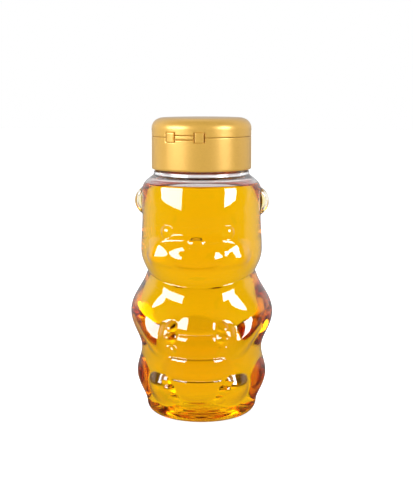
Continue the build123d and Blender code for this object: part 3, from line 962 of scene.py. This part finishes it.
def pet_material(name, skin, tint):
    """Blown clear PET, whose skin ripples slightly. A tint of 0 is a wetted side, without shine."""
    material, shader = principled(
        name,
        Base_Color=(1, 1, 1, 1),
        Roughness=0.0,
        IOR=PET_IOR,
        Transmission_Weight=1.0,
        Specular_Tint=(tint, tint, tint, 1),
        Coat_Weight=tint,
        Coat_Roughness=0.0,
        Coat_IOR=PET_IOR,
    )
    ripples = place_group(material, skin, Wave_Scale=55.0, Wave_Depth=0.25, Grain_Depth=0.0)
    material.node_tree.links.new(ripples.outputs["Normal"], shader.inputs["Normal"])
    return material


def honey_material(name, skin, tint):
    """Amber honey, faintly streaky: it takes blue and some green out of rays on their way."""
    material, shader = principled(
        name,
        Base_Color=(1, 1, 1, 1),
        Roughness=0.0,
        IOR=HONEY_IOR,
        Transmission_Weight=1.0,
        Specular_Tint=(tint, tint, tint, 1),
    )
    tree = material.node_tree
    streaks = place_group(material, skin, Wave_Scale=34.0, Wave_Depth=0.12, Grain_Depth=0.0)
    tree.links.new(streaks.outputs["Normal"], shader.inputs["Normal"])
    depth = node(tree, "ShaderNodeVolumeAbsorption", Color=HONEY_COLOUR, Density=HONEY_DENSITY)
    tree.links.new(depth.outputs["Volume"], tree.nodes["Material Output"].inputs["Volume"])
    return material


def colour_between(tree, share, low, high):
    """A colour from low to high by a share. The Mix node's sockets 6 and 7 are its colours."""
    tint = node(tree, "ShaderNodeMix", data_type="RGBA")
    tint.inputs[6].default_value = (*low, 1)
    tint.inputs[7].default_value = (*high, 1)
    tree.links.new(share, tint.inputs[0])
    return tint.outputs[2]


def gold_material(name, skin, depth):
    """Gold-pigmented polypropylene: pearly flakes under a satin skin."""
    material, shader = principled(
        name, Metallic=0.45, Roughness=0.36, Coat_Weight=1.0, Coat_Roughness=0.28, Coat_IOR=1.5
    )
    tree = material.node_tree
    surface = place_group(material, skin, Grain_Depth=depth, Wave_Depth=0.1)
    place = node(tree, "ShaderNodeTexCoord")
    flakes = node(tree, "ShaderNodeTexVoronoi", Scale=2600.0)
    spread = node(tree, "ShaderNodeMapRange", To_Min=0.55)
    tree.links.new(place.outputs["Object"], flakes.inputs["Vector"])
    tree.links.new(flakes.outputs["Color"], spread.inputs["Value"])
    colour = colour_between(tree, spread.outputs["Result"], GOLD_DEEP, GOLD)
    tree.links.new(colour, shader.inputs["Base Color"])
    tree.links.new(surface.outputs["Normal"], shader.inputs["Normal"])
    return material


def foam_material(skin):
    """The liner's white foam, with its cells and a slightly greyer patchiness."""
    material, shader = principled("liner_foam", Roughness=0.75)
    tree = material.node_tree
    cells = place_group(material, skin, Grain_Scale=2400.0, Grain_Depth=0.6, Wave_Scale=300.0)
    colour = colour_between(tree, cells.outputs["Mask"], FOAM_GREY, FOAM)
    tree.links.new(colour, shader.inputs["Base Color"])
    tree.links.new(cells.outputs["Normal"], shader.inputs["Normal"])
    return material


moulded_skin = moulded_skin_group()
clear_pet = pet_material("clear_pet", moulded_skin, 1.0)
wetted_pet = pet_material("wetted_pet", moulded_skin, 0.0)
amber_honey = honey_material("amber_honey", moulded_skin, 0.0)
honey_surface = honey_material("amber_honey_surface", moulded_skin, 1.0)
gold = gold_material("satin_gold", moulded_skin, 0.25)
gold_lid = gold_material("satin_gold_lid", moulded_skin, 0.2)
gold_hinge = gold_material("satin_gold_hinge", moulded_skin, 0.1)
liner_foam = foam_material(moulded_skin)


def stands_for(piece, node_name, body):
    """Puts a piece in its CAD node's place, hiding that node, and on its body when one is given."""
    if body:
        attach(piece, body)
    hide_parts(node_name)


stands_for(make_bottle(), "bottle", "bottle")
stands_for(make_honey(), "honey", "bottle")
stands_for(make_liner(), "seal_liner", "liner")
stands_for(make_cap_base(), "cap_base", "cap")
stands_for(make_lid(), "lid", "lid")
film = hinge_bar(
    "hinge_bar",
    HINGE_BEARING,
    FILM_SET,
    FILM_THICKNESS,
    FILM_WIDTH,
    FILM_HEIGHT,
    FILM_EASE,
    FILM_ROWS,
)
stands_for(film, "hinge_film", None)
for side, hand in ((-1, "left"), (1, "right")):
    strap = hinge_bar(
        f"hinge_strap_{hand}",
        HINGE_BEARING + side * STRAP_TURN,
        STRAP_SET,
        STRAP_THICKNESS,
        STRAP_WIDTH,
        STRAP_HEIGHT,
        STRAP_EASE,
        STRAP_ROWS,
    )
    stands_for(strap, f"snap_strap_{hand}", None)


def make_camera():
    """The camera, a little over the cap, tilted down slightly and with its picture shifted."""
    data = bpy.data.cameras.new("camera")
    data.sensor_width = SENSOR
    data.lens = FOCAL_PIXELS / LONG_SIDE_PIXELS * SENSOR
    data.shift_y = CAMERA_SHIFT
    data.clip_start = 0.01
    camera = bpy.data.objects.new("camera", data)
    bpy.context.scene.collection.objects.link(camera)
    aside = CAMERA_DISTANCE * math.sin(CAMERA_AZIMUTH)
    back = CAMERA_DISTANCE * math.cos(CAMERA_AZIMUTH)
    camera.location = Vector((aside, -back, CAMERA_HEIGHT)) * MM
    down = math.atan((HORIZON_ABOVE_CENTRE_PIXELS + CAMERA_SHIFT * LONG_SIDE_PIXELS) / FOCAL_PIXELS)
    turn = CAMERA_AZIMUTH - math.atan(AXIS_OFFSET_PIXELS / FOCAL_PIXELS)
    camera.rotation_euler = (math.pi / 2 - down, 0, turn)
    bpy.context.scene.camera = camera


def ray_share(tree, kinds):
    """1 for rays of the named kinds, such as camera rays."""
    paths = tree.nodes.new("ShaderNodeLightPath")
    found = paths.outputs[kinds[0]]
    for kind in kinds[1:]:
        either = node(tree, "ShaderNodeMath", operation="MAXIMUM")
        tree.links.new(found, either.inputs[0])
        tree.links.new(paths.outputs[kind], either.inputs[1])
        found = either.outputs[0]
    return found


def eased_range(tree, value, low, high):
    """A soft step of strength between two (millimetres, strength) ends."""
    step = node(tree, "ShaderNodeMapRange", interpolation_type="SMOOTHSTEP")
    step.inputs["From Min"].default_value = low[0] * MM
    step.inputs["From Max"].default_value = high[0] * MM
    step.inputs["To Min"].default_value = low[1]
    step.inputs["To Max"].default_value = high[1]
    tree.links.new(value, step.inputs["Value"])
    return step.outputs["Result"]


def make_floor():
    """A plain white floor that glows white for the camera; for glass and gloss its glow is painted
    shadow, shade and reflection.
    """
    signs = [(-1, -1), (1, -1), (1, 1), (-1, 1)]
    corners = [(across * FLOOR_REACH, along * FLOOR_REACH, 0) for across, along in signs]
    material, shader = principled("pale_floor", Base_Color=FLOOR_WHITE, Roughness=0.7)
    shader.inputs["Emission Color"].default_value = (1, 1, 1, 1)
    tree = material.node_tree
    glow = node(tree, "ShaderNodeMath", operation="MULTIPLY")
    glow.inputs[1].default_value = FLOOR_GLOW
    tree.links.new(ray_share(tree, ["Is Camera Ray"]), glow.inputs[0])
    tree.links.new(glow.outputs[0], shader.inputs["Emission Strength"])
    place = tree.nodes.new("ShaderNodeTexCoord")
    axes = tree.nodes.new("ShaderNodeSeparateXYZ")
    away = node(tree, "ShaderNodeVectorMath", operation="LENGTH")
    tree.links.new(place.outputs["Object"], axes.inputs[0])
    tree.links.new(place.outputs["Object"], away.inputs[0])
    # Painted contact shadow: the floor's glow through glass falls dark near the bottle.
    painted_shadow = eased_range(tree, away.outputs["Value"], PAINTED_SHADOW_NEAR, PAINTED_SHADOW_FAR)
    # Painted shade: through glass the floor glows darker towards the front.
    painted_table_shade = eased_range(tree, axes.outputs["Y"], PAINTED_TABLE_SHADE_NEAR, PAINTED_TABLE_SHADE_FAR)
    # Painted reflection: in gloss the floor glows dark in front and a little brighter behind.
    painted_reflection = eased_range(tree, axes.outputs["Y"], PAINTED_REFLECTION_NEAR, PAINTED_REFLECTION_FAR)
    through = node(tree, "ShaderNodeMath", operation="MULTIPLY")
    tree.links.new(painted_shadow, through.inputs[0])
    tree.links.new(painted_table_shade, through.inputs[1])
    strength = node(tree, "ShaderNodeMix", data_type="FLOAT")
    tree.links.new(ray_share(tree, ["Is Transmission Ray"]), strength.inputs[0])
    tree.links.new(painted_reflection, strength.inputs[2])
    tree.links.new(through.outputs[0], strength.inputs[3])
    white = tree.nodes.new("ShaderNodeEmission")
    tree.links.new(strength.outputs[0], white.inputs["Strength"])
    mix = tree.nodes.new("ShaderNodeMixShader")
    tree.links.new(ray_share(tree, ["Is Glossy Ray", "Is Transmission Ray"]), mix.inputs["Fac"])
    tree.links.new(shader.outputs[0], mix.inputs[1])
    tree.links.new(white.outputs[0], mix.inputs[2])
    tree.links.new(mix.outputs[0], tree.nodes["Material Output"].inputs["Surface"])
    new_piece("floor", corners, [(0, 1, 2, 3)], material)


def softbox(name, place, size, power):
    """A rectangular softbox, in metres, turned to the bear."""
    light = bpy.data.lights.new(name, "AREA")
    light.shape = "RECTANGLE"
    light.size, light.size_y = size
    light.energy = power
    lamp = bpy.data.objects.new(name, light)
    lamp.location = place
    aim = Vector(SOFTBOX_AIM) - Vector(place)
    lamp.rotation_euler = aim.to_track_quat("-Z", "Y").to_euler()
    bpy.context.scene.collection.objects.link(lamp)


def grey_ramp(tree, value, stops):
    """Greys over a value, between two stops of (place, grey)."""
    ramp = tree.nodes.new("ShaderNodeValToRGB")
    ramp.color_ramp.interpolation = "EASE"
    for element, (place, grey) in zip(ramp.color_ramp.elements, stops):
        element.position = place
        element.color = (grey, grey, grey, 1)
    tree.links.new(value, ramp.inputs["Fac"])
    return ramp.outputs["Color"]


def make_world():
    """A studio: white to the camera and through glass, and dark in front of the bear in gloss."""
    world = bpy.data.worlds.new("studio")
    bpy.context.scene.world = world
    world.use_nodes = True
    tree = world.node_tree
    tree.nodes.clear()
    output = tree.nodes.new("ShaderNodeOutputWorld")
    place = tree.nodes.new("ShaderNodeTexCoord")
    axes = tree.nodes.new("ShaderNodeSeparateXYZ")
    tree.links.new(place.outputs["Generated"], axes.inputs[0])
    half = {}
    for axis in ("Y", "Z"):
        share = node(tree, "ShaderNodeMapRange", From_Min=-1.0)
        tree.links.new(axes.outputs[axis], share.inputs["Value"])
        half[axis] = share.outputs["Result"]
    gloss = grey_ramp(tree, half["Y"], GLOSS_GREYS)
    glass = grey_ramp(tree, half["Z"], GLASS_GREYS)
    plain = grey_ramp(tree, half["Z"], PLAIN_GREYS)

    def background(colour, strength=1.0):
        shade = node(tree, "ShaderNodeBackground", Strength=strength)
        tree.links.new(colour, shade.inputs["Color"])
        return shade.outputs[0]

    def chosen(kind, other, this):
        mix = tree.nodes.new("ShaderNodeMixShader")
        tree.links.new(ray_share(tree, [kind]), mix.inputs["Fac"])
        tree.links.new(other, mix.inputs[1])
        tree.links.new(this, mix.inputs[2])
        return mix.outputs[0]

    white = tree.nodes.new("ShaderNodeBackground")
    white.inputs["Color"].default_value = (1, 1, 1, 1)
    seen = chosen("Is Glossy Ray", background(plain), background(gloss))
    seen = chosen("Is Transmission Ray", seen, background(glass, HORIZON_WHITE))
    seen = chosen("Is Camera Ray", seen, white.outputs[0])
    tree.links.new(seen, output.inputs["Surface"])


make_camera()
make_floor()
softbox("left_softbox", LEFT_PLACE, LEFT_SIZE, LEFT_POWER)
softbox("right_softbox", RIGHT_PLACE, RIGHT_SIZE, RIGHT_POWER)
make_world()
bpy.context.scene.cycles.max_bounces = BOUNCES
bpy.context.scene.cycles.transmission_bounces = BOUNCES
bpy.context.scene.cycles.glossy_bounces = BOUNCES
bpy.context.scene.view_settings.view_transform = "Standard"
